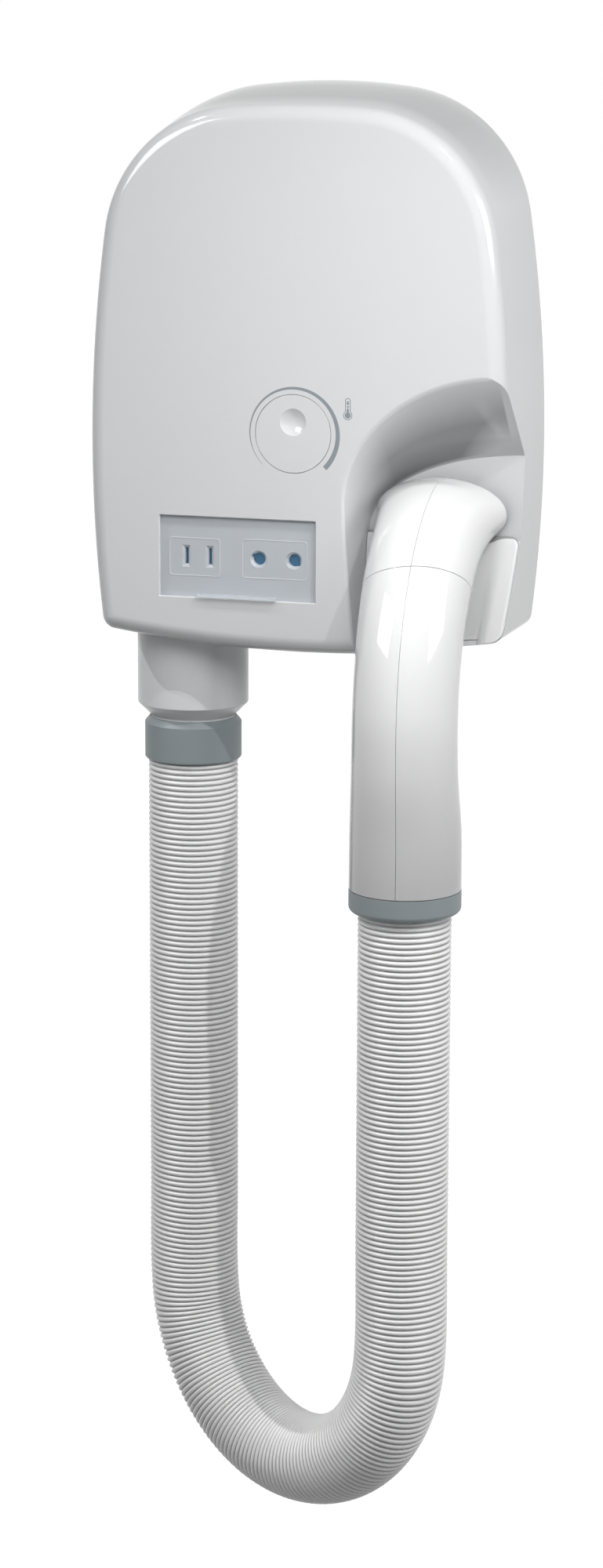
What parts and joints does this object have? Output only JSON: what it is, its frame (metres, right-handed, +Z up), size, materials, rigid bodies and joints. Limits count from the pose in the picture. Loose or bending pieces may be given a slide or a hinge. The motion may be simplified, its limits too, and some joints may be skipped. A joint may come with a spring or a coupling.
{
  "type": "wall-mounted hose hair dryer",
  "caption": "Wall-mounted hair dryer with a hose-fed handset in a moulded bay, a temperature dial and shaver sockets behind a lift-up flap.",
  "frame": {"origin": "on the wall plane, at the middle of the back plate's rear face, level with the widest stretch of the housing", "axes": "+X to the right as seen by someone facing the dryer, +Y into the wall, +Z up"},
  "size_m": [0.2258, 0.1427, 0.756],
  "materials": {
    "plate_plastic": "matt moulded grey-white plastic",
    "cover_plastic": "smooth light grey-white plastic, semi-gloss",
    "socket_plastic": "smooth light plastic, semi-gloss",
    "handset_plastic": "glossy white plastic",
    "spigot_plastic": "glossy light grey plastic",
    "cuff_plastic": "satin mid grey plastic",
    "hose_plastic": "ribbed white soft plastic",
    "tinted_flap": "clear polished plastic with a blue-grey tint",
    "inner_plastic": "matt dark moulded plastic",
    "board": "green coated circuit board",
    "screw_steel": "bright zinc-plated steel",
    "core_steel": "varnished sheet steel",
    "contact_brass": "stamped brass",
    "winding": "enamelled copper wire under tape",
    "heater_wire": "bare resistance wire",
    "mica": "flaky mica sheet"
  },
  "bodies": {
    "housing": {"back_plate": "plate_plastic", "front_cover": "cover_plastic", "cover_screw_left": "screw_steel", "cover_screw_right": "screw_steel", "dial_switch": "inner_plastic", "circuit_board": "board", "socket_plate": "socket_plastic", "socket_block": "inner_plastic", "flat_contact_left": "contact_brass", "flat_contact_right": "contact_brass", "round_contact_left": "contact_brass", "round_contact_right": "contact_brass", "transformer_core": "core_steel", "transformer_coil": "winding", "fan_housing": "inner_plastic", "fan_motor": "core_steel", "heater_housing": "inner_plastic", "heater_frame": "mica", "heater_coil": "heater_wire", "thermal_cutout": "screw_steel", "terminal_block": "handset_plastic", "hose_spigot": "spigot_plastic", "hose": "hose_plastic", "cradle": "handset_plastic", "hook_switch": "inner_plastic"},
    "dial": {"dial": "cover_plastic", "dial_shaft": "screw_steel"},
    "flap": {"socket_flap": "tinted_flap"},
    "fan": {"fan_impeller": "inner_plastic", "motor_shaft": "screw_steel"},
    "hose_cuff": {"hose_cuff": "cuff_plastic"},
    "plunger": {"hook_plunger": "cuff_plastic"},
    "handset": {"handle_left": "handset_plastic", "handle_right": "handset_plastic", "head_left": "handset_plastic", "head_right": "handset_plastic", "outlet_grille": "inner_plastic"},
    "handset_cuff": {"handset_cuff": "cuff_plastic"}
  },
  "joints": [
    {"name": "handset_pull", "type": "slide", "parent": "housing", "child": "handset", "axis": [0, -0.866, 0.5], "range_m": [0, 0.1]},
    {"name": "hook_press", "type": "slide", "parent": "housing", "child": "plunger", "axis": [0, -1, 0], "range_m": [0, 0.003]},
    {"name": "dial_turn", "type": "hinge", "parent": "housing", "child": "dial", "pos_m": [0, -0.08, -0.03], "axis": [0, 1, 0], "range_deg": [-135, 135]},
    {"name": "flap_lift", "type": "hinge", "parent": "housing", "child": "flap", "pos_m": [-0.03, -0.0785, -0.07575], "axis": [-1, 0, 0], "range_deg": [0, 90]},
    {"name": "hose_cuff_swivel", "type": "hinge", "parent": "housing", "child": "hose_cuff", "pos_m": [-0.0695, -0.0325, -0.2], "axis": [0, 0, 1], "continuous": true},
    {"name": "handset_cuff_swivel", "type": "hinge", "parent": "handset", "child": "handset_cuff", "pos_m": [0.07, -0.112, -0.26], "axis": [0, 0, 1], "continuous": true},
    {"name": "fan_spin", "type": "hinge", "parent": "housing", "child": "fan", "pos_m": [-0.025, -0.03, 0.072], "axis": [0, 1, 0], "continuous": true}
  ],
  "couplings": [
    {"joint": "hook_press", "follows": "handset_pull", "ratio": 0.03}
  ]
}
